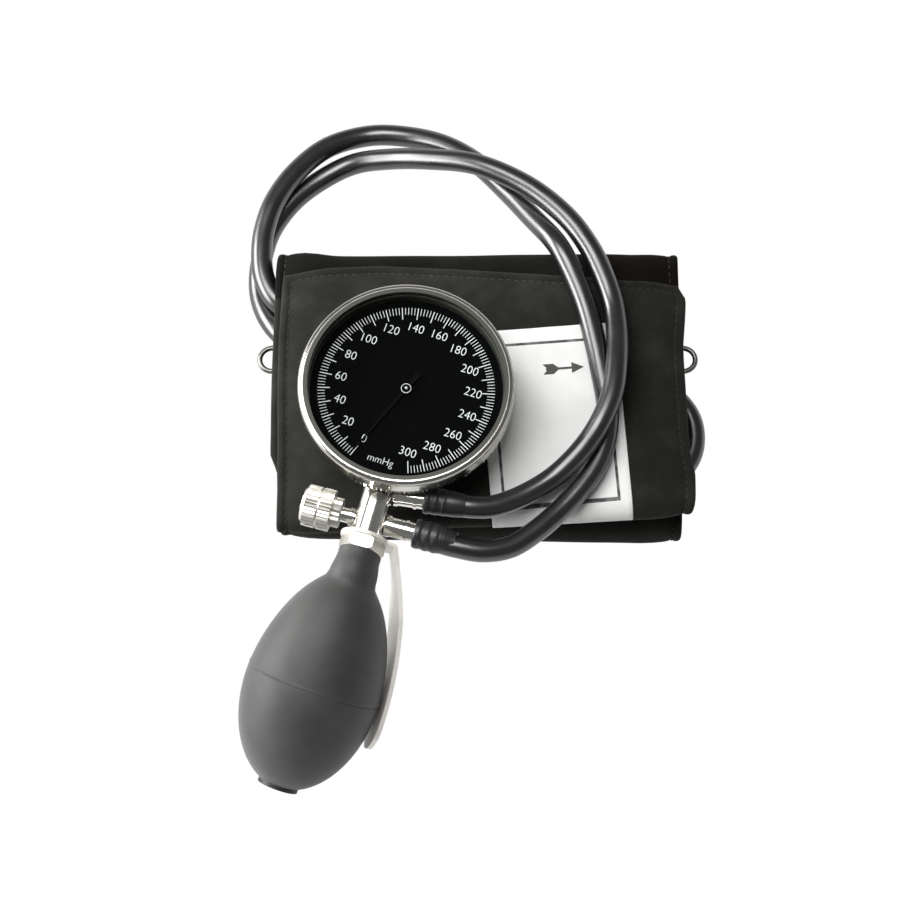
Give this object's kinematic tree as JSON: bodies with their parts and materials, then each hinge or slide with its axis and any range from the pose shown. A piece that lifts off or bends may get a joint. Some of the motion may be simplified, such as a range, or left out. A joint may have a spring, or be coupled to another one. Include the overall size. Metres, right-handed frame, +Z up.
{
  "type": "aneroid sphygmomanometer",
  "caption": "Hand-held aneroid blood pressure gauge with squeeze bulb, spoon grip and release valve, joined by hoses to a folded cloth arm cuff.",
  "frame": {"origin": "middle of the flat underside of the folded cuff", "axes": "+X to the right across the cuff, +Y away from the bulb, +Z up; the dial faces +Z"},
  "size_m": [0.1572, 0.2487, 0.0578],
  "materials": {
    "cuff_cloth": "woven cotton, charcoal",
    "bladder_rubber": "matt",
    "hook_tape": "hook tape",
    "loop_tape": "loop tape",
    "label_cloth": "smooth white",
    "ring_steel": "polished",
    "port_rubber": "matt",
    "hose_rubber": "smooth, slightly shiny",
    "sleeve_rubber": "ribbed",
    "case_metal": "turned",
    "screw_steel": "plain",
    "bezel_metal": "polished rim, fine teeth",
    "window": "clear",
    "gasket_rubber": "matt",
    "dial_face": "matt black",
    "pointer_black": "matt black",
    "movement_brass": "rolled",
    "spring_steel": "blued",
    "arbor_steel": "turned",
    "capsule_brass": "thin sheet",
    "tube_copper": "copper",
    "stem_chrome": "polished",
    "spoon_metal": "satin",
    "bulb_rubber": "matt",
    "end_metal": "plain",
    "disc_rubber": "matt",
    "seat_plastic": "moulded",
    "grille_steel": "perforated"
  },
  "bodies": {
    "cuff_and_gauge": {"cuff_wrap": "cuff_cloth", "bladder": "bladder_rubber", "hook_patch": "hook_tape", "loop_patch": "loop_tape", "label_patch": "label_cloth", "d_ring_loop": "cuff_cloth", "port_gauge": "port_rubber", "port_air": "port_rubber", "hose_gauge": "hose_rubber", "hose_air": "hose_rubber", "sleeve_gauge": "sleeve_rubber", "sleeve_air": "sleeve_rubber", "gauge_case": "case_metal", "case_back": "case_metal", "back_screws": "screw_steel", "bezel_ring": "bezel_metal", "crystal": "window", "crystal_gasket": "gasket_rubber", "dial": "dial_face", "hairspring": "spring_steel", "hairspring_stud": "movement_brass", "movement_base": "movement_brass", "movement_top": "movement_brass", "base_pillars": "movement_brass", "top_pillars": "movement_brass", "plate_screws": "screw_steel", "capsule": "capsule_brass", "capsule_socket": "movement_brass", "feed_tube": "tube_copper", "case_nut": "stem_chrome", "stem_body": "stem_chrome", "nipple_gauge": "stem_chrome", "nipple_air": "stem_chrome", "valve_bush": "stem_chrome", "valve_seal": "disc_rubber", "hex_collar": "stem_chrome", "spoon_grip": "spoon_metal", "bulb_spigot": "stem_chrome", "outlet_seat": "seat_plastic", "bulb": "bulb_rubber", "end_valve_body": "end_metal", "end_valve_cage": "seat_plastic", "end_valve_grille": "grille_steel"},
    "sector": {"sector_gear": "movement_brass", "sector_arbor": "arbor_steel"},
    "pointer_shaft": {"pointer": "pointer_black", "pinion_shaft": "arbor_steel"},
    "rocker": {"rocker_shaft": "arbor_steel"},
    "stud": {"capsule_stud": "arbor_steel"},
    "needle": {"valve_needle": "arbor_steel"},
    "knob": {"valve_knob": "stem_chrome"},
    "outlet_valve": {"outlet_disc": "disc_rubber"},
    "inlet_valve": {"end_valve_disc": "disc_rubber"},
    "strap_ring": {"d_ring": "ring_steel"}
  },
  "joints": [
    {"name": "sector_turn", "type": "hinge", "parent": "cuff_and_gauge", "child": "sector", "pos_m": [-0.01273, -0.02043, 0.0476], "axis": [0, 0, 1], "range_deg": [0, 32]},
    {"name": "pointer_turn", "type": "hinge", "parent": "cuff_and_gauge", "child": "pointer_shaft", "pos_m": [-0.0266, -0.0115, 0.0476], "axis": [0, 0, 1], "range_deg": [-320, 0]},
    {"name": "rocker_turn", "type": "hinge", "parent": "cuff_and_gauge", "child": "rocker", "pos_m": [-0.019, -0.01776, 0.0436], "axis": [0.9636, -0.2672, 0], "range_deg": [0, 20]},
    {"name": "stud_rise", "type": "slide", "parent": "cuff_and_gauge", "child": "stud", "axis": [0, 0, 1], "range_m": [0, 0.00208], "deforming": ["capsule"]},
    {"name": "valve_travel", "type": "slide", "parent": "cuff_and_gauge", "child": "needle", "axis": [-0.9636, 0.2672, 0], "range_m": [0, 0.00106]},
    {"name": "knob_turn", "type": "hinge", "parent": "needle", "child": "knob", "pos_m": [-0.05297, -0.05047, 0.0419], "axis": [-0.9636, 0.2672, 0], "range_deg": [0, 540]},
    {"name": "outlet_lift", "type": "slide", "parent": "cuff_and_gauge", "child": "outlet_valve", "axis": [0.2672, 0.9636, 0], "range_m": [0, 0.0008]},
    {"name": "inlet_lift", "type": "slide", "parent": "cuff_and_gauge", "child": "inlet_valve", "axis": [0.3385, 0.8504, 0.4027], "range_m": [0, 0.0008]},
    {"name": "ring_swing", "type": "hinge", "parent": "cuff_and_gauge", "child": "strap_ring", "pos_m": [-0.0026, 0.0097, 0.0155], "axis": [1, 0, 0], "range_deg": [-6, 20]}
  ],
  "couplings": [
    {"joint": "pointer_turn", "follows": "sector_turn", "ratio": -10},
    {"joint": "rocker_turn", "follows": "sector_turn", "ratio": 0.625},
    {"joint": "stud_rise", "follows": "sector_turn", "m_per_rad": 0.003724},
    {"joint": "valve_travel", "follows": "knob_turn", "m_per_rad": 0.00011141}
  ]
}
